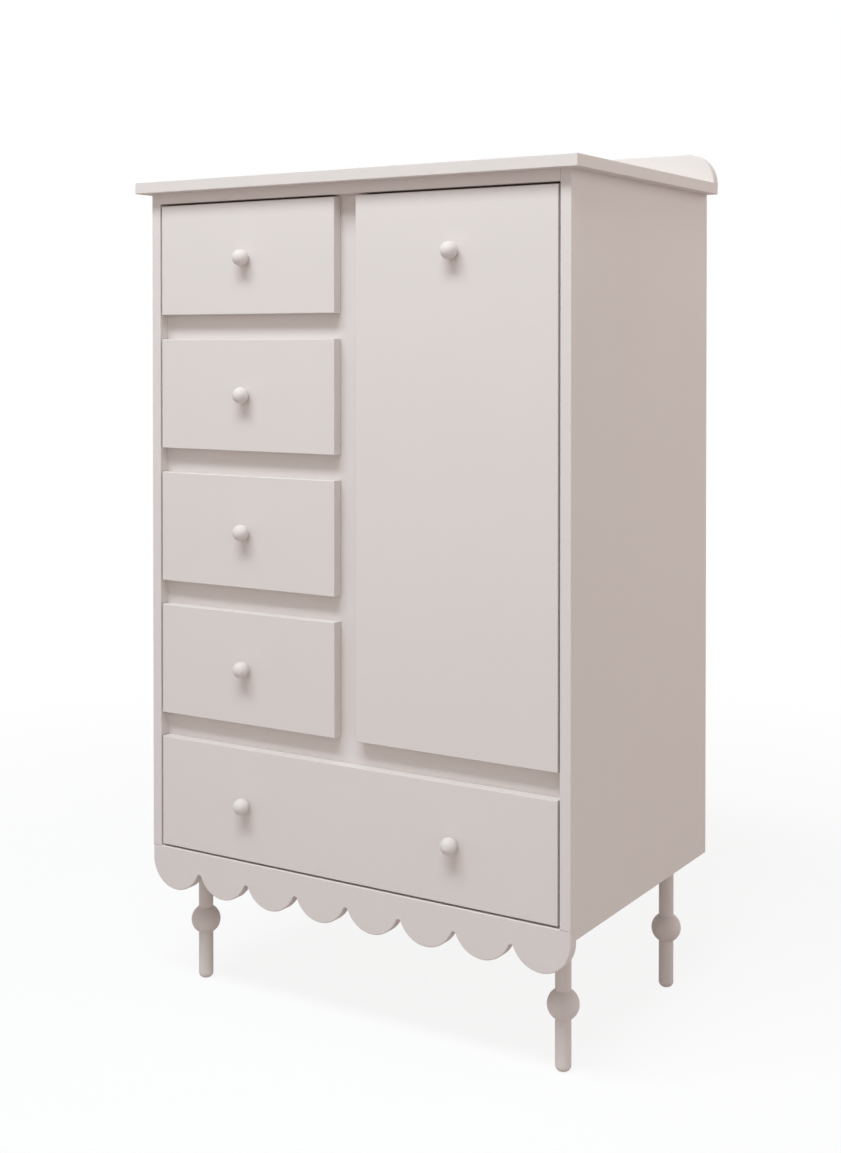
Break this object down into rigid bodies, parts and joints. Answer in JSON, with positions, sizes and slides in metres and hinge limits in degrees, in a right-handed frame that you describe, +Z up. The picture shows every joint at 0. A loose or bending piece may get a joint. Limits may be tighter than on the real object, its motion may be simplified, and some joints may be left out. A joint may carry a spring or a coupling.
{
  "type": "tall dresser",
  "caption": "Tall painted dresser with a column of drawers beside a cupboard door, a wide drawer below, a scalloped apron, ball knobs and turned legs.",
  "frame": {"origin": "on the floor, under the middle of the part's box", "axes": "+Z up, +X to the right as seen from the front, +Y to the back; the fronts face -Y"},
  "size_m": [0.84, 0.5392, 1.428],
  "materials": {
    "painted_wood": "satin warm greige paint",
    "birch_plywood": "clear matt lacquer",
    "beech": "waxed",
    "zinc_plated_steel": "bright zinc plate"
  },
  "bodies": {
    "carcass": {"left_side": "painted_wood", "right_side": "painted_wood", "bottom_panel": "painted_wood", "inner_top": "painted_wood", "back_panel": "painted_wood", "top_panel": "painted_wood", "gallery": "painted_wood", "divider_left": "painted_wood", "divider_right": "painted_wood", "front_stile": "painted_wood", "mid_panel": "painted_wood", "mid_rail": "painted_wood", "drawer_rail_1": "painted_wood", "drawer_rail_2": "painted_wood", "drawer_rail_3": "painted_wood", "apron": "painted_wood", "leg_front_left": "painted_wood", "leg_front_right": "painted_wood", "leg_rear_left": "painted_wood", "leg_rear_right": "painted_wood", "leg_plates": "zinc_plated_steel", "leg_bolts": "zinc_plated_steel", "runner_strips": "beech", "shelf_lower": "painted_wood", "shelf_upper": "painted_wood", "shelf_pins": "zinc_plated_steel", "hinge_arms": "zinc_plated_steel", "hinge_plates": "zinc_plated_steel", "hinge_plate_screws": "zinc_plated_steel"},
    "drawer_1": {"drawer_1_front": "painted_wood", "drawer_1_box": "birch_plywood", "drawer_1_bottom": "birch_plywood", "drawer_1_knobs": "painted_wood", "drawer_1_screws": "zinc_plated_steel"},
    "drawer_2": {"drawer_2_front": "painted_wood", "drawer_2_box": "birch_plywood", "drawer_2_bottom": "birch_plywood", "drawer_2_knobs": "painted_wood", "drawer_2_screws": "zinc_plated_steel"},
    "drawer_3": {"drawer_3_front": "painted_wood", "drawer_3_box": "birch_plywood", "drawer_3_bottom": "birch_plywood", "drawer_3_knobs": "painted_wood", "drawer_3_screws": "zinc_plated_steel"},
    "drawer_4": {"drawer_4_front": "painted_wood", "drawer_4_box": "birch_plywood", "drawer_4_bottom": "birch_plywood", "drawer_4_knobs": "painted_wood", "drawer_4_screws": "zinc_plated_steel"},
    "drawer_5": {"drawer_5_front": "painted_wood", "drawer_5_box": "birch_plywood", "drawer_5_bottom": "birch_plywood", "drawer_5_knobs": "painted_wood", "drawer_5_screws": "zinc_plated_steel"},
    "hinge_link": {"hinge_links": "zinc_plated_steel"},
    "door": {"door_panel": "painted_wood", "door_knob": "painted_wood", "door_knob_screw": "zinc_plated_steel", "hinge_cups": "zinc_plated_steel", "hinge_cup_screws": "zinc_plated_steel"}
  },
  "joints": [
    {"name": "drawer_1_slide", "type": "slide", "parent": "carcass", "child": "drawer_1", "axis": [0, -1, 0], "range_m": [0, 0.3]},
    {"name": "drawer_2_slide", "type": "slide", "parent": "carcass", "child": "drawer_2", "axis": [0, -1, 0], "range_m": [0, 0.3]},
    {"name": "drawer_3_slide", "type": "slide", "parent": "carcass", "child": "drawer_3", "axis": [0, -1, 0], "range_m": [0, 0.3]},
    {"name": "drawer_4_slide", "type": "slide", "parent": "carcass", "child": "drawer_4", "axis": [0, -1, 0], "range_m": [0, 0.3]},
    {"name": "drawer_5_slide", "type": "slide", "parent": "carcass", "child": "drawer_5", "axis": [0, -1, 0], "range_m": [0, 0.3]},
    {"name": "hinge_link_swing", "type": "hinge", "parent": "carcass", "child": "hinge_link", "pos_m": [0.348, -0.21589, 0.906], "axis": [0, 0, 1], "range_deg": [-33.25, 0]},
    {"name": "door_swing", "type": "hinge", "parent": "hinge_link", "child": "door", "pos_m": [0.3695, -0.22989, 0.906], "axis": [0, 0, 1], "range_deg": [0, 128.25]}
  ],
  "couplings": [
    {"joint": "hinge_link_swing", "follows": "door_swing", "ratio": -0.25926}
  ]
}
